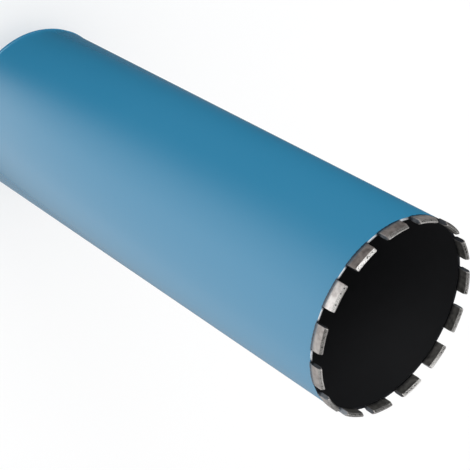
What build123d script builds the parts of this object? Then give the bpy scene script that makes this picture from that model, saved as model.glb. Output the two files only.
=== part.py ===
from build123d import *
from math import asin, cos, degrees, radians, tan
import os

# A wet core bit: a thin steel barrel with diamond segments on one end and a threaded hub on the other.
# Sizes are in millimetres and degrees. +Z runs along the axis from the hub to the cutting faces, and the
# origin is the middle of the hub's end face, on which the bit stands.

# Crown: the ring of segments that cuts.
crown_diameter = 182.0        # across the outer faces of the segments, which is the hole's size
segment_count = 15
segment_length = 24.0         # straight across the outer face, between its radial ends
segment_thickness = 4.0
segment_overhang = 0.8        # how far each segment stands out beyond the barrel
segment_foot_height = 1.4     # of the plain foot, as thick as the barrel's wall, that is welded on
segment_shoulder_height = 9.8 # from the barrel's end to where the roof starts
segment_roof_height = 2.2     # from there to the crest, which cuts first
segment_crest_width = 1.0
segment_corner_radius = 1.2   # where the crest turns down into the segment's ends
crown_turn = 5.6              # turn of the first segment from the front, about the axis

# Barrel.
barrel_wall = 2.5
drilling_depth = 525.0        # from the back plate's inner face to the crests
rim_edge_break = 0.15         # on both edges of the barrel's bare end

# Back plate, which is stepped: its flange lies on the barrel's end and its spigot fits inside.
plate_thickness = 10.0
plate_spigot_height = 6.0
plate_edge_chamfer = 1.2
spigot_clearance = 0.05       # on the radius, between each spigot and its hole
spigot_lead_in = 0.8

# Hub.
hub_length = 34.0             # outside the back plate
hex_across_flats = 41.0       # a standard spanner size
hex_length = 24.0
hex_face_margin = 0.5         # from the flats to the edge of the turned end face
hex_chamfer_angle = 30.0
collar_diameter = 50.0
collar_edge_chamfer = 1.0
hub_spigot_diameter = 44.0
thread_diameter = 31.75       # 1 1/4 inch, seven threads to the inch
thread_length = 36.0          # from the end face to the shoulder
thread_mouth_chamfer = 1.5
water_bore_diameter = 22.0
water_bore_chamfer = 1.0

# Weld beads.
weld_groove_depth = 1.5       # of the V between the barrel and the flange
weld_groove_crown = 0.7       # how far that bead stands out beyond the barrel
fillet_leg = 4.5              # of the bead round the hub
fillet_crown = 0.5            # its swell beyond a straight slope

# Sizes that follow from those above.
crown_radius = crown_diameter / 2
barrel_radius = crown_radius - segment_overhang
bore_radius = barrel_radius - barrel_wall
collar_radius = collar_diameter / 2
hub_spigot_radius = hub_spigot_diameter / 2
thread_radius = thread_diameter / 2
water_bore_radius = water_bore_diameter / 2
segment_pitch = 360 / segment_count
segment_half_angle = degrees(asin(segment_length / 2 / crown_radius))
segment_height = segment_shoulder_height + segment_roof_height
plate_outer_z = hub_length
plate_inner_z = plate_outer_z + plate_thickness
barrel_start_z = plate_inner_z - plate_spigot_height
crest_z = plate_inner_z + drilling_depth
barrel_end_z = crest_z - segment_height


def turned(*outline):
    """A turned solid from (radius, height) points that go once round its half section."""
    section = make_face(Polyline(*[(radius, 0, z) for radius, z in outline], close=True))
    return revolve(section, Axis.Z)


def barrel():
    """The tube, bevelled at its lower end for the weld and square at the rim that carries the segments."""
    return turned(
        (bore_radius, barrel_start_z),
        (barrel_radius - weld_groove_depth, barrel_start_z),
        (barrel_radius, barrel_start_z + weld_groove_depth),
        (barrel_radius, barrel_end_z - rim_edge_break),
        (barrel_radius - rim_edge_break, barrel_end_z),
        (bore_radius + rim_edge_break, barrel_end_z),
        (bore_radius, barrel_end_z - rim_edge_break),
    )


def back_plate():
    """A turned disc: flange, spigot inside the barrel, and a hole for the hub."""
    hole_radius = hub_spigot_radius + spigot_clearance
    spigot_radius = bore_radius - spigot_clearance
    return turned(
        (hole_radius, plate_outer_z),
        (barrel_radius - plate_edge_chamfer, plate_outer_z),
        (barrel_radius, plate_outer_z + plate_edge_chamfer),
        (barrel_radius, barrel_start_z - weld_groove_depth),
        (barrel_radius - weld_groove_depth, barrel_start_z),
        (spigot_radius, barrel_start_z),
        (spigot_radius, plate_inner_z - spigot_lead_in),
        (spigot_radius - spigot_lead_in, plate_inner_z),
        (hole_radius, plate_inner_z),
    )


def hub():
    """A hexagon for the spanner, a round collar under the back plate and a spigot through it."""
    flat_radius = hex_across_flats / 2
    corner_radius = flat_radius / cos(radians(30))
    face_radius = flat_radius - hex_face_margin
    chamfer_height = (corner_radius - face_radius) * tan(radians(hex_chamfer_angle))
    hexagon = extrude(RegularPolygon(flat_radius, 6, major_radius=False), hex_length)
    hexagon &= turned(
        (0, 0),
        (face_radius, 0),
        (corner_radius, chamfer_height),
        (corner_radius, hex_length),
        (0, hex_length),
    )
    shank = turned(
        (0, hex_length),
        (collar_radius - collar_edge_chamfer, hex_length),
        (collar_radius, hex_length + collar_edge_chamfer),
        (collar_radius, plate_outer_z),
        (hub_spigot_radius, plate_outer_z),
        (hub_spigot_radius, plate_inner_z),
        (0, plate_inner_z),
    )
    passage = turned(
        (0, 0),
        (thread_radius + thread_mouth_chamfer, 0),
        (thread_radius, thread_mouth_chamfer),
        (thread_radius, thread_length),
        (water_bore_radius, thread_length),
        (water_bore_radius, plate_inner_z - water_bore_chamfer),
        (water_bore_radius + water_bore_chamfer, plate_inner_z),
        (0, plate_inner_z),
    )
    return hexagon + shank - passage


def barrel_weld():
    """The bead that fills the V between the barrel and the flange, its swell in three flats."""
    half_flat = weld_groove_depth / 2
    return turned(
        (barrel_radius - weld_groove_depth, barrel_start_z),
        (barrel_radius, barrel_start_z + weld_groove_depth),
        (barrel_radius + weld_groove_crown, barrel_start_z + half_flat),
        (barrel_radius + weld_groove_crown, barrel_start_z - half_flat),
        (barrel_radius, barrel_start_z - weld_groove_depth),
    )


def hub_weld():
    """The fillet bead in the corner between the hub's collar and the back plate, in three flats too."""
    near = fillet_leg / 3 + fillet_crown * cos(radians(45))
    far = near + fillet_leg / 3
    return turned(
        (collar_radius, plate_outer_z),
        (collar_radius + fillet_leg, plate_outer_z),
        (collar_radius + far, plate_outer_z - near),
        (collar_radius + near, plate_outer_z - far),
        (collar_radius, plate_outer_z - fillet_leg),
    )


def segment_stock():
    """A length of the crown between two radial ends: a foot, a wider body over it and a roof."""
    outer_radius = crown_radius
    inner_radius = crown_radius - segment_thickness
    crest_radius = (outer_radius + inner_radius) / 2
    foot_z = barrel_end_z + segment_foot_height
    shoulder_z = barrel_end_z + segment_shoulder_height
    section = make_face(Polyline(
        (bore_radius, 0, barrel_end_z),
        (barrel_radius, 0, barrel_end_z),
        (barrel_radius, 0, foot_z),
        (outer_radius, 0, foot_z + outer_radius - barrel_radius),
        (outer_radius, 0, shoulder_z),
        (crest_radius + segment_crest_width / 2, 0, crest_z),
        (crest_radius - segment_crest_width / 2, 0, crest_z),
        (inner_radius, 0, shoulder_z),
        (inner_radius, 0, foot_z + bore_radius - inner_radius),
        (bore_radius, 0, foot_z),
        close=True,
    ))
    section = Rot(0, 0, -segment_half_angle) * section
    return revolve(section, Axis.Z, revolution_arc=2 * segment_half_angle)


def corner_waste():
    """What is taken off one end of a segment to round its crest down into that end."""
    radius = segment_corner_radius
    end = Rot(0, 0, segment_half_angle) * Plane.YZ
    square = Pos(-radius, crest_z - radius) * Rectangle(2 * radius, 2 * radius, align=Align.MIN)
    round_corner = Pos(-radius, crest_z - radius) * Circle(radius)
    return extrude(end * (square - round_corner), crown_radius + segment_thickness)


def segment(angle):
    """One sintered segment, its middle at an angle from +X."""
    waste = corner_waste()
    block = segment_stock() - waste - mirror(waste, about=Plane.XZ)
    return Rot(0, 0, angle) * block


os.makedirs("parts", exist_ok=True)
pieces = {
    "barrel": barrel(),
    "back_plate": back_plate(),
    "hub": hub(),
    "barrel_weld": barrel_weld(),
    "hub_weld": hub_weld(),
}
first_angle = crown_turn - 90
for number in range(segment_count):
    pieces[f"segment_{number + 1:02d}"] = segment(first_angle + number * segment_pitch)
for name, piece in pieces.items():
    export_step(piece, f"parts/{name}.step")
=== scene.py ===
import bpy
import math
import random
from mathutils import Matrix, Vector


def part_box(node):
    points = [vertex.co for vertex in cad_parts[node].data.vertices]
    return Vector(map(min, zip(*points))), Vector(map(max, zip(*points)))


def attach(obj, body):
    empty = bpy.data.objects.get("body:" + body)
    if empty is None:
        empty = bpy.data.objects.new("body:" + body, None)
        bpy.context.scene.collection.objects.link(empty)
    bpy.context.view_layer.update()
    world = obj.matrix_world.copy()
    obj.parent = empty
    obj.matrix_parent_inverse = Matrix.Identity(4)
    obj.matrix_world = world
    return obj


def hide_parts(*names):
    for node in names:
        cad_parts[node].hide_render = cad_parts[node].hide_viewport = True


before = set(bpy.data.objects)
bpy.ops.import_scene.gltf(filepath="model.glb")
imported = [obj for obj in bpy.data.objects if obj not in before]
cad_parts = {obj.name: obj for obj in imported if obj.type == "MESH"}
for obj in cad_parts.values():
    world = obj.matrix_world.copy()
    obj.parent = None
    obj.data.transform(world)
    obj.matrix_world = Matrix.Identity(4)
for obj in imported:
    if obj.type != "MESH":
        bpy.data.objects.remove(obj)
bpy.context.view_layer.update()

# Camera. It looks down over the crown from in front, rolled so that the barrel comes in at the top left
# and its crown ends at the bottom right.
MM = 0.001
camera_place = (0.0, -909.6 * MM, 1135.2 * MM)
camera_dip = 40.115
camera_pan = -0.548
camera_roll = 120.95
camera_data = bpy.data.cameras.new("camera")
camera_data.sensor_width = 36.0
camera_data.lens = 98.14
camera = bpy.data.objects.new("camera", camera_data)
camera.location = camera_place
camera.rotation_euler = (math.radians(90 - camera_dip), 0.0, math.radians(camera_pan))
camera.rotation_euler.rotate_axis("Z", math.radians(camera_roll))
bpy.context.scene.collection.objects.link(camera)
bpy.context.scene.camera = camera
bpy.context.scene.view_settings.view_transform = "Standard"


# Room: a white sky, a white floor that keeps the shadow and is clear from below, and one soft lamp. Gloss
# sees a white ceiling, a dim horizon with a soft panel in front, and a sweep below, bright in front and on
# the right.
def shader_node(tree, kind, **settings):
    """A node of a shader tree. Settings name its properties, or its inputs by their socket names."""
    node = tree.nodes.new(kind)
    for name, value in settings.items():
        if hasattr(node, name):
            setattr(node, name, value)
        else:
            node.inputs[name.replace("_", " ")].default_value = value
    return node


def wire(tree, *chain):
    """Links sockets in pairs: output, input, output, input."""
    for start, end in zip(chain[::2], chain[1::2]):
        tree.links.new(start, end)


def blend_colours(tree, factor, first, second):
    """The output of a colour mix. Each of the two colours is a socket or a plain triple."""
    mix = shader_node(tree, "ShaderNodeMix", data_type="RGBA")
    wire(tree, factor, mix.inputs["Factor"])
    for name, colour in (("A", first), ("B", second)):
        if isinstance(colour, tuple):
            mix.inputs[name].default_value = (*colour, 1.0)
        else:
            wire(tree, colour, mix.inputs[name])
    return mix.outputs["Result"]


def colour_steps(tree, value, steps):
    """A colour ramp from (position, colour) pairs, fed by a socket, and its output."""
    ramp = shader_node(tree, "ShaderNodeValToRGB")
    ramp.color_ramp.elements.remove(ramp.color_ramp.elements[1])
    for place, colour in steps:
        stop = ramp.color_ramp.elements.new(place)
        stop.color = (*colour, 1.0)
    wire(tree, value, ramp.inputs["Fac"])
    return ramp.outputs["Color"]


sky_light = 1.0
horizon_light = 0.10
panel_light = 6.0
panel_direction = (-0.33, -0.78, 0.53)
sweep_light = ((-180, 0.0), (-174, 0.16), (-164, 0.20), (-142, 0.04), (-120, 0.0), (-50, 0.0),
               (-32, 0.20), (-16, 0.60), (0, 1.0), (30, 1.5), (60, 1.55), (96, 1.45), (128, 0.85),
               (155, 0.50), (172, 0.30), (180, 0.0))
floor_size = 12.0
floor_shadow = 0.50
lamp_size = 0.9
lamp_power = 5.0
lamp_place = (-1.17, -1.61, 1.50)
lamp_target = (0.0, 0.0, 0.57)
world = bpy.data.worlds.new("room")
world.use_nodes = True
sky = world.node_tree
sky_shader = sky.nodes["Background"]
sky_path = shader_node(sky, "ShaderNodeLightPath")
sky_direction = shader_node(sky, "ShaderNodeTexCoord")
sky_turn = shader_node(sky, "ShaderNodeMapping")
sky_turn.inputs["Rotation"].default_value = (0.0, 0.0, math.radians(90.0))
sky_bearing = shader_node(sky, "ShaderNodeTexGradient", gradient_type="RADIAL")
sky_axes = shader_node(sky, "ShaderNodeSeparateXYZ")
below = shader_node(sky, "ShaderNodeMapRange", From_Min=-0.02, From_Max=-0.20)
deeper = shader_node(sky, "ShaderNodeMapRange", From_Min=-0.50, From_Max=-0.85, To_Max=0.14)
above = shader_node(sky, "ShaderNodeMapRange", From_Min=0.45, From_Max=0.62)
toward_panel = shader_node(sky, "ShaderNodeVectorMath", operation="DOT_PRODUCT")
toward_panel.inputs[1].default_value = panel_direction
panel = shader_node(sky, "ShaderNodeMapRange", From_Min=0.95, From_Max=0.99)
white_seen = shader_node(sky, "ShaderNodeMath", operation="MAXIMUM")
wire(sky,
     sky_direction.outputs["Generated"], sky_turn.inputs["Vector"],
     sky_turn.outputs["Vector"], sky_bearing.inputs["Vector"],
     sky_direction.outputs["Generated"], sky_axes.inputs[0],
     sky_axes.outputs["Z"], below.inputs["Value"],
     sky_axes.outputs["Z"], above.inputs["Value"],
     sky_axes.outputs["Z"], deeper.inputs["Value"],
     sky_direction.outputs["Generated"], toward_panel.inputs[0],
     toward_panel.outputs["Value"], panel.inputs["Value"],
     sky_path.outputs["Is Camera Ray"], white_seen.inputs[0],
     sky_path.outputs["Is Transmission Ray"], white_seen.inputs[1])
sweep = colour_steps(sky, sky_bearing.outputs["Fac"],
                     [(bearing / 360 + 0.5, (light, light, light)) for bearing, light in sweep_light])
sweep = blend_colours(sky, deeper.outputs["Result"], sweep, (0.0, 0.0, 0.0))
low_gloss = blend_colours(sky, below.outputs["Result"], (horizon_light,) * 3, sweep)
gloss_light = blend_colours(sky, above.outputs["Result"], low_gloss, (1.0, 1.0, 1.0))
gloss_light = blend_colours(sky, panel.outputs["Result"], gloss_light, (panel_light,) * 3)
seen_light = blend_colours(sky, sky_path.outputs["Is Glossy Ray"], (sky_light,) * 3, gloss_light)
seen_light = blend_colours(sky, white_seen.outputs[0], seen_light, (1.0, 1.0, 1.0))
wire(sky, seen_light, sky_shader.inputs["Color"])
bpy.context.scene.world = world

bpy.ops.object.select_all(action="DESELECT")
bpy.ops.mesh.primitive_plane_add(size=floor_size)
floor = bpy.context.object
floor.name = "floor"
floor.visible_glossy = False
floor_material = bpy.data.materials.new("floor_white")
floor_material.use_nodes = True
floor_tree = floor_material.node_tree
floor_tree.nodes.clear()
floor_output = shader_node(floor_tree, "ShaderNodeOutputMaterial")
floor_diffuse = shader_node(floor_tree, "ShaderNodeBsdfDiffuse", Color=(*(floor_shadow,) * 3, 1.0))
floor_lift = shader_node(floor_tree, "ShaderNodeEmission", Color=(1.0, 1.0, 1.0, 1.0),
                         Strength=1.0 - floor_shadow)
floor_sum = shader_node(floor_tree, "ShaderNodeAddShader")
floor_clear = shader_node(floor_tree, "ShaderNodeBsdfTransparent")
floor_side = shader_node(floor_tree, "ShaderNodeNewGeometry")
floor_mix = shader_node(floor_tree, "ShaderNodeMixShader")
wire(floor_tree, floor_diffuse.outputs[0], floor_sum.inputs[0], floor_lift.outputs[0], floor_sum.inputs[1],
     floor_side.outputs["Backfacing"], floor_mix.inputs["Fac"], floor_sum.outputs[0], floor_mix.inputs[1],
     floor_clear.outputs[0], floor_mix.inputs[2], floor_mix.outputs[0], floor_output.inputs["Surface"])
floor.data.materials.append(floor_material)

lamp_data = bpy.data.lights.new("soft_lamp", "AREA")
lamp_data.shape = "DISK"
lamp_data.size = lamp_size
lamp_data.energy = lamp_power
lamp = bpy.data.objects.new("soft_lamp", lamp_data)
lamp.location = lamp_place
lamp.rotation_euler = (Vector(lamp_target) - lamp.location).to_track_quat("-Z", "Y").to_euler()
bpy.context.scene.collection.objects.link(lamp)


# Barrel. A welded steel tube, sprayed light blue outside and black inside. Its cutting end is faced
# square and shows bare steel in front, with black over the rest of it as painted shade. Next to the
# segments, the steel of the end and the paint's edge are darkened, partly as weld scorch and partly as
# painted shade under and beside each segment.
barrel_low, barrel_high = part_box("barrel")
barrel_radius = barrel_high.x
barrel_wall = 2.5 * MM
barrel_sides = 288
rim_bevel = 0.15 * MM
rim_z = barrel_high.z
segment_count = 15
crown_turn = 5.6
first_segment_phase = (0.5 + (crown_turn - 90) / 360) * segment_count
segment_end_phase = 0.316
scorch_and_shade_fade = 0.06
scorch_and_shade_waver = 1.6 * MM
scorch_and_shade_below_rim = 0.5 * MM
scorch_and_shade_above_rim = 0.3 * MM
painted_light_depth_z = 0.15
far_rim_shade_waver = 12.0 * MM
far_rim_shade_start_y = -43.0 * MM
far_rim_shade_full_y = -39.0 * MM


def only(piece):
    """Selects one object and makes it active, with nothing else selected."""
    bpy.ops.object.select_all(action="DESELECT")
    piece.select_set(True)
    bpy.context.view_layer.objects.active = piece


def settle(piece):
    """Applies a piece's place and its modifiers, so that all of its shape is in its mesh."""
    only(piece)
    bpy.ops.object.transform_apply(location=True, rotation=True, scale=True)
    for modifier in list(piece.modifiers):
        bpy.ops.object.modifier_apply(modifier=modifier.name)


def fit(piece, slot, *nodes):
    """Fixes a finished piece to the bit, in place of the CAD nodes that it stands for."""
    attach(piece, "root")
    if nodes:
        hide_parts(*nodes)


def new_material(name):
    """An empty material and the principled shader that it ends in."""
    material = bpy.data.materials.new(name)
    material.use_nodes = True
    return material, material.node_tree, material.node_tree.nodes["Principled BSDF"]


bpy.ops.object.select_all(action="DESELECT")
bpy.ops.mesh.primitive_cylinder_add(
    vertices=barrel_sides, radius=barrel_radius, depth=barrel_high.z - barrel_low.z,
    end_fill_type="NOTHING", location=(0.0, 0.0, (barrel_low.z + barrel_high.z) / 2))
barrel = bpy.context.object
barrel.name = "barrel_tube"
wall = barrel.modifiers.new("wall", "SOLIDIFY")
wall.thickness = barrel_wall
wall.offset = -1.0
wall.use_even_offset = True
edge = barrel.modifiers.new("rim", "BEVEL")
edge.width = rim_bevel
edge.segments = 2
edge.limit_method = "ANGLE"
edge.angle_limit = math.radians(60)
settle(barrel)
bpy.ops.object.shade_smooth_by_angle(angle=math.radians(30))


def noise(tree, place, scale, detail, squeeze=(1.0, 1.0, 1.0)):
    """A fractal noise round 0.5 on a place socket, with lumps about 1 / scale metres across."""
    stretch = shader_node(tree, "ShaderNodeMapping")
    stretch.inputs["Scale"].default_value = squeeze
    texture = shader_node(tree, "ShaderNodeTexNoise", Scale=scale, Detail=detail)
    wire(tree, place, stretch.inputs["Vector"], stretch.outputs["Vector"], texture.inputs["Vector"])
    return texture.outputs["Fac"]


def span(tree, value, start, end, low=0.0, high=1.0):
    """Takes a socket's range from start to end over to the range from low to high, and clamps it."""
    reach = shader_node(tree, "ShaderNodeMapRange", From_Min=start, From_Max=end, To_Min=low, To_Max=high)
    wire(tree, value, reach.inputs["Value"])
    return reach.outputs["Result"]


def calculate(tree, operation, *sides):
    """The output of one sum. Each of its sides is a socket or a number."""
    sum_node = shader_node(tree, "ShaderNodeMath", operation=operation)
    for socket, side in zip(sum_node.inputs, sides):
        if isinstance(side, (int, float)):
            socket.default_value = side
        else:
            wire(tree, side, socket)
    return sum_node.outputs[0]


def roughen(tree, shader, height, strength, depth):
    """Bumps a shader's surface by a height socket."""
    bump = shader_node(tree, "ShaderNodeBump", Strength=strength, Distance=depth)
    wire(tree, height, bump.inputs["Height"], bump.outputs["Normal"], shader.inputs["Normal"])


def from_segment(tree, place):
    """How far round the crown a place is from the nearest segment's middle, in pitches: 0 to 0.5."""
    round_crown = shader_node(tree, "ShaderNodeTexGradient", gradient_type="RADIAL")
    wire(tree, place, round_crown.inputs["Vector"])
    turns = calculate(tree, "MULTIPLY_ADD", round_crown.outputs["Fac"], segment_count, -first_segment_phase)
    return calculate(tree, "PINGPONG", turns, 0.5)


paint, tree, shader = new_material("light_blue_paint")
shader.inputs["IOR"].default_value = 1.5
shader.inputs["Specular IOR Level"].default_value = 1.0
place = shader_node(tree, "ShaderNodeTexCoord").outputs["Object"]
axes = shader_node(tree, "ShaderNodeSeparateXYZ")
wire(tree, place, axes.inputs[0])
cloud = noise(tree, place, scale=7.0, detail=3.0)
# Weld scorch and painted shade: the paint is darkened just below the rim, under and beside each segment.
paint_scorch_and_shade_edge = calculate(tree, "MULTIPLY_ADD", noise(tree, place, scale=500.0, detail=3.0), scorch_and_shade_waver,
                        axes.outputs["Z"])
near_rim = span(tree, paint_scorch_and_shade_edge, rim_z - scorch_and_shade_below_rim, rim_z + scorch_and_shade_above_rim)
under_segment = span(tree, from_segment(tree, place), segment_end_phase + scorch_and_shade_fade, segment_end_phase)
paint_scorch_and_shade = calculate(tree, "MULTIPLY", near_rim, under_segment)
blue = blend_colours(tree, cloud, (0.022, 0.213, 0.383), (0.026, 0.225, 0.400))
wire(tree, blend_colours(tree, paint_scorch_and_shade, blue, (0.010, 0.030, 0.055)), shader.inputs["Base Color"],
     span(tree, cloud, 0.0, 1.0, 0.22, 0.28), shader.inputs["Roughness"])
roughen(tree, shader, noise(tree, place, scale=650.0, detail=2.0), strength=0.06, depth=0.2 * MM)

inside_black, tree, shader = new_material("inside_black")
shader.inputs["Roughness"].default_value = 0.7
shader.inputs["Specular IOR Level"].default_value = 0.2
place = shader_node(tree, "ShaderNodeTexCoord").outputs["Object"]
axes = shader_node(tree, "ShaderNodeSeparateXYZ")
wire(tree, place, axes.inputs[0])
mottle = noise(tree, place, scale=60.0, detail=5.0)
# Painted light and shade: the black is lighter deep in the bore, where less light reaches, and darker near
# the rim, where the lamp's light falls.
deep_black_painted_light = blend_colours(tree, mottle, (0.036, 0.036, 0.040), (0.048, 0.048, 0.053))
rim_black_painted_shade = blend_colours(tree, mottle, (0.0080, 0.0083, 0.0094), (0.0105, 0.0110, 0.0123))
wire(tree, blend_colours(tree, span(tree, axes.outputs["Z"], painted_light_depth_z, rim_z), deep_black_painted_light, rim_black_painted_shade),
     shader.inputs["Base Color"])

rim_steel, tree, shader = new_material("rim_steel")
shader.inputs["Specular IOR Level"].default_value = 0.1
place = shader_node(tree, "ShaderNodeTexCoord").outputs["Object"]
axes = shader_node(tree, "ShaderNodeSeparateXYZ")
wire(tree, place, axes.inputs[0])
grain = noise(tree, place, scale=900.0, detail=3.0)
waver = noise(tree, place, scale=140.0, detail=3.0)
# Painted shade: the rim's face is black, not bare steel, over all but its front.
far_rim_shade_edge = calculate(tree, "MULTIPLY_ADD", waver, far_rim_shade_waver, axes.outputs["Y"])
far_rim_painted_shade = span(tree, far_rim_shade_edge, far_rim_shade_start_y, far_rim_shade_full_y)
steel_colour = blend_colours(tree, grain, (0.66, 0.70, 0.75), (0.90, 0.93, 0.96))
# Weld scorch and painted shade: the rim's face darkens next to each segment's end.
rim_scorch_and_shade_edge = calculate(tree, "MULTIPLY_ADD", waver, -scorch_and_shade_fade, from_segment(tree, place))
rim_scorch_and_shade = span(tree, rim_scorch_and_shade_edge, segment_end_phase + scorch_and_shade_fade, segment_end_phase - 0.01)
steel_colour = blend_colours(tree, rim_scorch_and_shade, steel_colour, (0.030, 0.032, 0.045))
wire(tree, blend_colours(tree, far_rim_painted_shade, steel_colour, (0.006, 0.007, 0.010)), shader.inputs["Base Color"],
     calculate(tree, "SUBTRACT", 1.0, far_rim_painted_shade), shader.inputs["Metallic"],
     span(tree, grain, 0.0, 1.0, 0.22, 0.42), shader.inputs["Roughness"])

for material in (paint, inside_black, rim_steel):
    barrel.data.materials.append(material)
for face in barrel.data.polygons:
    radius = Vector(face.center[:2]).length
    if face.normal.z > 0.5:
        face.material_index = 2
    elif radius < barrel_radius - barrel_wall / 2:
        face.material_index = 1
fit(barrel, "barrel_paint", "barrel")


# Back plate. A turned steel disc, 10 mm thick, set in the barrel's lower end and welded there. It was
# sprayed with the barrel, blue outside and black inside.
plate_bevel = 0.3 * MM
plate_black_depth = 5.5 * MM
merge_distance = 0.002 * MM


def copy_of_node(name, title):
    """A piece with its own copy of a CAD node's shape, with its loose triangles joined into faces."""
    piece = bpy.data.objects.new(title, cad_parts[name].data.copy())
    bpy.context.scene.collection.objects.link(piece)
    piece.data.materials.clear()
    only(piece)
    bpy.ops.object.mode_set(mode="EDIT")
    bpy.ops.mesh.select_all(action="SELECT")
    bpy.ops.mesh.remove_doubles(threshold=merge_distance)
    bpy.ops.mesh.dissolve_limited(angle_limit=math.radians(0.5))
    bpy.ops.object.mode_set(mode="OBJECT")
    return piece


def soften(piece, width, steps=2, sharper_than=20):
    """Rounds the edges that are sharper than an angle in degrees, and shades the rest smooth."""
    rounding = piece.modifiers.new("rounding", "BEVEL")
    rounding.width = width
    rounding.segments = steps
    rounding.limit_method = "ANGLE"
    rounding.angle_limit = math.radians(sharper_than)
    rounding.use_clamp_overlap = True
    settle(piece)
    bpy.ops.object.shade_smooth_by_angle(angle=math.radians(30))


plate = copy_of_node("back_plate", "back_plate_disc")
soften(plate, plate_bevel)
plate_inner_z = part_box("back_plate")[1].z
for material in (paint, inside_black):
    plate.data.materials.append(material)
for face in plate.data.polygons:
    if face.center.z > plate_inner_z - plate_black_depth:
        face.material_index = 1
fit(plate, "barrel_paint", "back_plate")


# Barrel weld. One bead laid round the V between the barrel and the back plate, in short overlapping
# ripples, and sprayed blue with them.
barrel_bead_low, barrel_bead_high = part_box("barrel_weld")
barrel_bead_z = (barrel_bead_low.z + barrel_bead_high.z) / 2
barrel_bead_ring = barrel_radius - 0.9 * MM
barrel_bead_thickness = 1.55 * MM
barrel_ripple_length = 2.4 * MM
barrel_ripple_height = 0.22 * MM
barrel_bead_steps = 720
ripple_bow = 0.32


def ripple_bead(title, ring_radius, middle_z, thickness, ripple_length, ripple_height, steps):
    """A closed weld bead round the axis, whose surface rises and falls in curved ripples."""
    bpy.ops.object.select_all(action="DESELECT")
    bpy.ops.mesh.primitive_torus_add(
        major_radius=ring_radius, minor_radius=thickness, major_segments=steps, minor_segments=14,
        location=(0.0, 0.0, middle_z))
    bead = bpy.context.object
    bead.name = title
    settle(bead)
    ripples = round(2 * math.pi * ring_radius / ripple_length)
    for vertex in bead.data.vertices:
        x, y, z = vertex.co
        out = Vector((x, y, 0.0)).length - ring_radius
        across = (z - middle_z) / thickness
        turn = math.atan2(y, x) * ripples / (2 * math.pi) + ripple_bow * across * across
        wander = 0.12 * math.sin(turn * 0.73) + 0.08 * math.sin(turn * 0.31 + 1.0)
        phase = turn % 1.0
        rise = ripple_height * (phase * (1.0 - phase) * 4.0 - 0.5 + wander)
        grow = (ring_radius + out * (1.0 + rise / thickness)) / (ring_radius + out)
        vertex.co = (x * grow, y * grow, middle_z + (z - middle_z) * (1.0 + rise / thickness))
    bpy.ops.object.shade_smooth()
    return bead


barrel_bead = ripple_bead("barrel_weld_bead", barrel_bead_ring, barrel_bead_z, barrel_bead_thickness,
                          barrel_ripple_length, barrel_ripple_height, barrel_bead_steps)
barrel_bead.data.materials.append(paint)
fit(barrel_bead, "barrel_paint", "barrel_weld")


# Hub. Turned from steel bar: a hexagon for the spanner, a round collar, and a spigot through the back
# plate. It is left unpainted, with fine tool marks round it.
hub_bevel = 0.35 * MM
turned_steel, tree, shader = new_material("turned_steel")
shader.inputs["Metallic"].default_value = 1.0
place = shader_node(tree, "ShaderNodeTexCoord").outputs["Object"]
tool_marks = noise(tree, place, scale=90.0, detail=4.0, squeeze=(1.0, 1.0, 60.0))
stain = noise(tree, place, scale=55.0, detail=6.0)
wire(tree, blend_colours(tree, stain, (0.40, 0.39, 0.38), (0.58, 0.58, 0.59)), shader.inputs["Base Color"],
     span(tree, tool_marks, 0.0, 1.0, 0.24, 0.44), shader.inputs["Roughness"])
roughen(tree, shader, tool_marks, strength=0.25, depth=0.1 * MM)
hub = copy_of_node("hub", "hub_body")
soften(hub, hub_bevel)
hub.data.materials.append(turned_steel)
fit(hub, "machined_steel", "hub")


# Hub thread. The 1 1/4 inch thread cut in the hub's steel, seven turns to the inch, right-handed, with
# its crests slightly flattened. It is one closed ridge, wound up the hole with its root sunk in the wall.
thread_radius = 15.875 * MM
thread_pitch = 25.4 / 7 * MM
thread_depth = 1.95 * MM
thread_turns = 8
thread_start_z = 3.2 * MM
thread_steps = 72
thread_root_half = 1.55 * MM
thread_crest_half = 0.3 * MM
thread_sunk = 0.1 * MM
thread_root_radius = thread_radius + thread_sunk
thread_crest_radius = thread_radius - thread_depth
bpy.ops.object.select_all(action="DESELECT")
bpy.ops.mesh.primitive_plane_add(size=2.0, location=(0.0, 0.0, 0.0))
thread = bpy.context.object
thread.name = "hub_thread"
corners = ((thread_root_radius, -thread_root_half), (thread_root_radius, thread_root_half),
           (thread_crest_radius, thread_crest_half), (thread_crest_radius, -thread_crest_half))
for vertex, (radius, height) in zip((thread.data.vertices[0], thread.data.vertices[1],
                                     thread.data.vertices[3], thread.data.vertices[2]), corners):
    vertex.co = (radius, 0.0, thread_start_z + height)
wind = thread.modifiers.new("wind", "SCREW")
wind.axis = "Z"
wind.screw_offset = thread_pitch
wind.iterations = thread_turns
wind.steps = thread_steps
wind.render_steps = thread_steps
settle(thread)
bpy.ops.object.mode_set(mode="EDIT")
bpy.ops.mesh.select_all(action="SELECT")
bpy.ops.mesh.fill_holes(sides=len(corners))
bpy.ops.mesh.normals_make_consistent(inside=False)
bpy.ops.object.mode_set(mode="OBJECT")
bpy.ops.object.shade_smooth_by_angle(angle=math.radians(30))
thread.data.materials.append(turned_steel)
fit(thread, "machined_steel")


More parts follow.
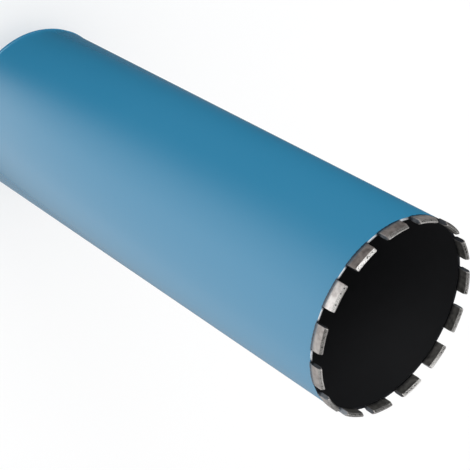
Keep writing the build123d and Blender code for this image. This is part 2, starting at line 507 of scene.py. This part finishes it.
# Hub weld. A fillet bead round the collar, laid like the other one but masked from the spray with the
# hub, so it keeps the brown and blue colours of the heat.
collar_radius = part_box("hub")[1].x
hub_bead_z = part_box("hub_weld")[1].z - 0.7 * MM
hub_bead_ring = collar_radius + 0.7 * MM
hub_bead_thickness = 2.9 * MM
hub_ripple_length = 2.6 * MM
hub_ripple_height = 0.3 * MM
hub_bead_steps = 360
heat_colours = ((0.0, (0.10, 0.09, 0.09)), (0.4, (0.20, 0.17, 0.16)), (0.52, (0.26, 0.19, 0.13)),
                (0.62, (0.12, 0.11, 0.17)), (1.0, (0.30, 0.28, 0.26)))
weld_steel, tree, shader = new_material("weld_steel")
shader.inputs["Metallic"].default_value = 0.9
shader.inputs["Roughness"].default_value = 0.42
place = shader_node(tree, "ShaderNodeTexCoord").outputs["Object"]
stain = noise(tree, place, scale=120.0, detail=5.0)
wire(tree, colour_steps(tree, stain, heat_colours), shader.inputs["Base Color"])
hub_bead = ripple_bead("hub_weld_bead", hub_bead_ring, hub_bead_z, hub_bead_thickness,
                       hub_ripple_length, hub_ripple_height, hub_bead_steps)
hub_bead.data.materials.append(weld_steel)
fit(hub_bead, "weld_steel", "hub_weld")


# Diamond segments. Blocks of metal powder and diamond grit, sintered to the crown's curve and welded on by
# a foot as thick as the barrel. The roof over each is ground until pores and grit show. Their inner faces
# are painted dark as painted shade, near-black towards the foot.
segment_names = sorted(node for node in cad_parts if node.startswith("segment_"))
crest_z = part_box(segment_names[0])[1].z
segment_overhang = 0.8 * MM
segment_thickness = 4.0 * MM
segment_length = 24.0 * MM
segment_foot = 1.4 * MM
segment_roof = 2.2 * MM
segment_crest = 1.0 * MM
segment_corner = 1.2 * MM
segment_corner_steps = 5
segment_steps = 24
segment_grain = 0.25 * MM
lump_size = 2.6 * MM
lump_height = 0.14 * MM
grit_size = 0.7 * MM
grit_height = 0.09 * MM
crown_radius = barrel_radius + segment_overhang
inner_radius = crown_radius - segment_thickness
bore_radius = barrel_radius - barrel_wall
crest_radius = (crown_radius + inner_radius) / 2
foot_z = rim_z + segment_foot
shoulder_z = crest_z - segment_roof
segment_half_angle = math.asin(segment_length / 2 / crown_radius)
end_angle_slack = 0.001


def select_edges(piece, wanted):
    """Selects, in edit mode, the edges whose two ends both pass a test."""
    bpy.ops.object.mode_set(mode="EDIT")
    bpy.ops.mesh.select_all(action="DESELECT")
    bpy.ops.mesh.select_mode(type="EDGE")
    bpy.ops.object.mode_set(mode="OBJECT")
    for edge in piece.data.edges:
        edge.select = all(wanted(piece.data.vertices[index].co) for index in edge.vertices)
    bpy.ops.object.mode_set(mode="EDIT")


section = ((bore_radius, rim_z), (barrel_radius, rim_z), (barrel_radius, foot_z),
           (crown_radius, foot_z + crown_radius - barrel_radius), (crown_radius, shoulder_z),
           (crest_radius + segment_crest / 2, crest_z), (crest_radius - segment_crest / 2, crest_z),
           (inner_radius, shoulder_z), (inner_radius, foot_z + bore_radius - inner_radius),
           (bore_radius, foot_z))
bpy.ops.object.select_all(action="DESELECT")
bpy.ops.mesh.primitive_circle_add(vertices=len(section), fill_type="NGON")
blank = bpy.context.object
blank.name = "segment_blank"
for vertex, (radius, height) in zip(blank.data.vertices, section):
    vertex.co = (radius * math.cos(segment_half_angle), radius * math.sin(segment_half_angle), height)
bpy.ops.object.mode_set(mode="EDIT")
bpy.ops.mesh.select_all(action="SELECT")
bpy.ops.mesh.spin(steps=segment_steps, angle=2 * segment_half_angle,
                  center=(0.0, 0.0, 0.0), axis=(0.0, 0.0, 1.0))
bpy.ops.mesh.select_all(action="SELECT")
bpy.ops.mesh.remove_doubles(threshold=merge_distance)
bpy.ops.mesh.normals_make_consistent(inside=False)
bpy.ops.object.mode_set(mode="OBJECT")
select_edges(blank, lambda corner: corner.z > shoulder_z - merge_distance
             and abs(abs(math.atan2(corner.y, corner.x)) - segment_half_angle) < end_angle_slack)
bpy.ops.mesh.bevel(offset=segment_corner, segments=segment_corner_steps, affect="EDGES")
bpy.ops.object.mode_set(mode="OBJECT")
fine = blank.modifiers.new("fine", "REMESH")
fine.mode = "VOXEL"
fine.voxel_size = segment_grain
settle(blank)

lumps = bpy.data.textures.new("segment_lumps", "CLOUDS")
lumps.noise_scale = lump_size
lumps.noise_depth = 2
grit = bpy.data.textures.new("segment_grit", "CLOUDS")
grit.noise_scale = grit_size
grit.noise_depth = 1

# The metal's colours: painted shade on the inner face, charcoal and near-black at the foot; ends in dark
# scorch or blue-grey heat colour, chosen per segment as painted shade and painted light; heat tints over
# the weld; a bright or dark ground roof and crest, their brightness partly wear and partly painted
# highlight; lightened sharp edges; and pores painted dark as shade in the pits. facing_out is how far a
# face points away from the bit's axis, from -1 to 1.
roof_tilt = (0.35, 0.50)
crest_tilt = (0.78, 0.92)
inner_tilt = (-0.60, -0.80)
inner_shade_reach = (1.6 * MM, 5.6 * MM)
end_foot_heat_and_shade_reach = (5.0 * MM, 2.4 * MM)
weld_heat_reach = (4.8 * MM, 2.2 * MM)
weld_tint_reach = (0.6 * MM, 5.2 * MM)
weld_tints = ((0.0, (0.07, 0.10, 0.13)), (0.45, (0.15, 0.18, 0.21)), (0.75, (0.22, 0.22, 0.23)),
              (1.0, (0.27, 0.23, 0.21)))
edge_metal = (0.86, 0.85, 0.83)
pore_shade_black = (0.012, 0.011, 0.010)
sintered, tree, shader = new_material("sintered_metal")
shader.inputs["Metallic"].default_value = 0.55
place = shader_node(tree, "ShaderNodeTexCoord").outputs["Object"]
axes = shader_node(tree, "ShaderNodeSeparateXYZ")
surface = shader_node(tree, "ShaderNodeNewGeometry")
surface_axes = shader_node(tree, "ShaderNodeSeparateXYZ")
outward = shader_node(tree, "ShaderNodeVectorMath", operation="DOT_PRODUCT")
wire(tree, place, axes.inputs[0],
     surface.outputs["Normal"], surface_axes.inputs[0],
     surface.outputs["Normal"], outward.inputs[0],
     place, outward.inputs[1])
facing_up = surface_axes.outputs["Z"]
radial = calculate(tree, "DIVIDE", outward.outputs["Value"], crown_radius)
lift = calculate(tree, "MULTIPLY", facing_up, rim_z / crown_radius)
facing_out = calculate(tree, "SUBTRACT", radial, lift)
patches = noise(tree, place, scale=260.0, detail=6.0)
mottled = span(tree, patches, 0.35, 0.62)
speckle = noise(tree, place, scale=1500.0, detail=3.0)
flecks = span(tree, speckle, 0.36, 0.56)
above_rim = calculate(tree, "SUBTRACT", axes.outputs["Z"], rim_z)
wavy_height = calculate(tree, "MULTIPLY_ADD", patches, 1.6 * MM, above_rim)
wear_and_light = {name: shader_node(tree, "ShaderNodeAttribute", attribute_name=name).outputs["Fac"]
        for name in ("body_wear_and_light", "roof_wear_and_highlight", "crest_wear_and_highlight", "end_heat_and_light", "pore")}

# Wear and painted light: each segment's body, roof and crest go from dark to bright by its own levels, as
# painted reflection and highlight.
dark_body = blend_colours(tree, mottled, (0.115, 0.098, 0.090), (0.235, 0.205, 0.190))
bright_body = blend_colours(tree, mottled, (0.60, 0.56, 0.54), (0.86, 0.83, 0.81))
body = blend_colours(tree, wear_and_light["body_wear_and_light"], dark_body, bright_body)
dark_ground = blend_colours(tree, flecks, (0.07, 0.065, 0.06), (0.24, 0.23, 0.22))
bright_ground = blend_colours(tree, flecks, (0.45, 0.43, 0.41), (0.95, 0.94, 0.92))
# Painted light: roof slopes that face inwards are lightened.
roof_wear_and_inner_light = calculate(tree, "ADD", wear_and_light["roof_wear_and_highlight"], span(tree, facing_out, -0.2, -0.5, 0.0, 0.35))
roof = blend_colours(tree, roof_wear_and_inner_light, dark_ground, bright_ground)
crest = blend_colours(tree, wear_and_light["crest_wear_and_highlight"], dark_ground, bright_ground)
colour = blend_colours(tree, span(tree, facing_up, *roof_tilt), body, roof)
colour = blend_colours(tree, span(tree, facing_up, *crest_tilt), colour, crest)

# Painted shade: the inner faces are painted charcoal, near-black towards the foot.
inner_shade_charcoal = blend_colours(tree, mottled, (0.085, 0.083, 0.078), (0.170, 0.165, 0.155))
inner_face_painted_shade = blend_colours(tree, span(tree, wavy_height, *inner_shade_reach), (0.006, 0.007, 0.009), inner_shade_charcoal)
colour = blend_colours(tree, span(tree, facing_out, *inner_tilt), colour, inner_face_painted_shade)

# Sharp edges that face up, and not outward, are lightened towards bright metal.
sharp_edges = span(tree, surface.outputs["Pointiness"], 0.515, 0.56, 0.0, 0.9)
lightened_edges = calculate(tree, "MULTIPLY", sharp_edges, span(tree, facing_up, 0.40, 0.65, 0.3, 1.0))
lightened_edges = calculate(tree, "MULTIPLY", lightened_edges, span(tree, facing_out, 0.25, -0.05, 0.1, 1.0))
colour = blend_colours(tree, lightened_edges, colour, edge_metal)

# Painted shade and light: each segment's ends are near-black scorch or blue-grey heat colour by its own
# level, darkest at the foot.
facing_along = span(tree, calculate(tree, "ABSOLUTE", facing_out), 0.45, 0.25)
end_face = calculate(tree, "MULTIPLY", facing_along, span(tree, facing_up, 0.35, 0.20))
scorched_shaded_end = blend_colours(tree, flecks, (0.010, 0.011, 0.014), (0.022, 0.025, 0.032))
blued_lit_end = blend_colours(tree, mottled, (0.24, 0.27, 0.30), (0.42, 0.45, 0.49))
end_heat_and_shade_colour = blend_colours(tree, wear_and_light["end_heat_and_light"], scorched_shaded_end, blued_lit_end)
end_foot_heat_and_shade = blend_colours(tree, wear_and_light["end_heat_and_light"], (0.010, 0.011, 0.013), (0.045, 0.065, 0.090))
end_heat_and_shade_colour = blend_colours(tree, span(tree, wavy_height, *end_foot_heat_and_shade_reach, 0.0, 0.9), end_heat_and_shade_colour, end_foot_heat_and_shade)
colour = blend_colours(tree, end_face, colour, end_heat_and_shade_colour)

tint = colour_steps(tree, span(tree, wavy_height, *weld_tint_reach), weld_tints)
tinted = calculate(tree, "MULTIPLY", span(tree, wavy_height, *weld_heat_reach, 0.0, 0.95),
                   span(tree, facing_out, 0.35, 0.60))
colour = blend_colours(tree, tinted, colour, tint)
# Painted shade: the pits are painted near-black, darkest in their middle.
colour = blend_colours(tree, wear_and_light["pore"], colour, pore_shade_black)
wire(tree, colour, shader.inputs["Base Color"],
     span(tree, patches, 0.3, 0.7, 0.34, 0.56), shader.inputs["Roughness"])
roughen(tree, shader, speckle, strength=0.5, depth=0.2 * MM)

# How bright each segment's body, roof, crest and ends are, from 0 to 1, partly from wear and partly as
# painted light: painted reflection on the body, painted highlight on the roof and crest, painted light and
# shade on the ends. The last column is how much brighter the body, roof and crest get from the middle to
# the far end.
segment_wear_and_light = (
    (0.85, 0.50, 0.00, 0.05, 0.30), (0.30, 0.10, 0.15, 0.05, 0.05), (0.22, 0.40, 0.56, 0.20, 0.00),
    (0.22, 0.30, 0.15, 0.75, -0.10), (0.20, 0.10, 0.00, 0.80, -0.10), (0.20, 0.00, 0.00, 0.15, 0.00),
    (0.20, 0.80, 0.90, 0.00, 0.20), (0.20, 0.12, 0.30, 0.40, -0.50), (0.20, 0.15, 0.00, 0.60, -0.25),
    (0.20, 0.25, 0.20, 0.30, -0.05), (0.20, 0.05, 0.00, 0.05, 0.00), (0.20, 0.00, 0.00, 0.15, -0.10),
    (0.34, 0.15, 0.50, 0.35, 0.00), (0.13, 0.05, 0.50, 0.60, 0.05), (0.05, 0.60, 0.95, 0.10, 0.00))
pores_each = 11
pore_reach = 0.75 * MM
pore_reach_range = (0.5, 1.3)
pore_depth = 0.4 * MM
pore_spread = 0.85
pore_band = (0.25, 0.75)
pore_shade_strength = 1.6
chance = random.Random(7)


def open_pores(piece, middle_angle):
    """Sinks pores and lost grains into a segment's roof, and marks them in its attribute, darkest in the
    middle, as painted shade in the pits.
    """
    marks = piece.data.attributes.new("pore", "FLOAT", "POINT")
    roof = [vertex for vertex in piece.data.vertices if vertex.co.z > shoulder_z]
    for _ in range(pores_each):
        side = chance.choice((-1, 1))
        along = middle_angle + chance.uniform(-pore_spread, pore_spread) * segment_half_angle
        down = chance.uniform(*pore_band)
        radius = crest_radius + side * (segment_crest / 2 + down * (segment_thickness - segment_crest) / 2)
        middle = Vector((radius * math.cos(along), radius * math.sin(along), crest_z - down * segment_roof))
        reach = pore_reach * chance.uniform(*pore_reach_range)
        for vertex in roof:
            near = 1.0 - (vertex.co - middle).length / reach
            if near > 0:
                mark = marks.data[vertex.index]
                mark.value = max(mark.value, min(1.0, pore_shade_strength * near))
                vertex.co.z -= pore_depth * near


# Each segment gets its own levels of wear and painted light.
for name, (*levels_worn_and_lit, lean) in zip(segment_names, segment_wear_and_light):
    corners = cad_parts[name].data.vertices
    centre = sum((corner.co for corner in corners), Vector()) / len(corners)
    middle_angle = math.atan2(centre.y, centre.x)
    segment = bpy.data.objects.new("diamond_" + name, blank.data.copy())
    bpy.context.scene.collection.objects.link(segment)
    segment.rotation_euler.z = middle_angle
    settle(segment)
    for texture, strength in ((lumps, lump_height), (grit, grit_height)):
        roughness = segment.modifiers.new(texture.name, "DISPLACE")
        roughness.texture = texture
        roughness.strength = strength
        roughness.mid_level = 0.6
    settle(segment)
    open_pores(segment, middle_angle)
    along = [(math.atan2(vertex.co.y, vertex.co.x) - middle_angle + math.pi) % (2 * math.pi) - math.pi
             for vertex in segment.data.vertices]
    for side, worn_and_lit in zip(("body_wear_and_light", "roof_wear_and_highlight", "crest_wear_and_highlight", "end_heat_and_light"), levels_worn_and_lit):
        side_lean = 0.0 if side == "end_heat_and_light" else lean
        levels = segment.data.attributes.new(side, "FLOAT", "POINT")
        levels.data.foreach_set("value", [
            min(1.0, max(0.0, worn_and_lit + side_lean * angle / segment_half_angle)) for angle in along])
    bpy.ops.object.shade_smooth()
    segment.data.materials.append(sintered)
    fit(segment, "diamond_segment", name)
bpy.data.objects.remove(blank)
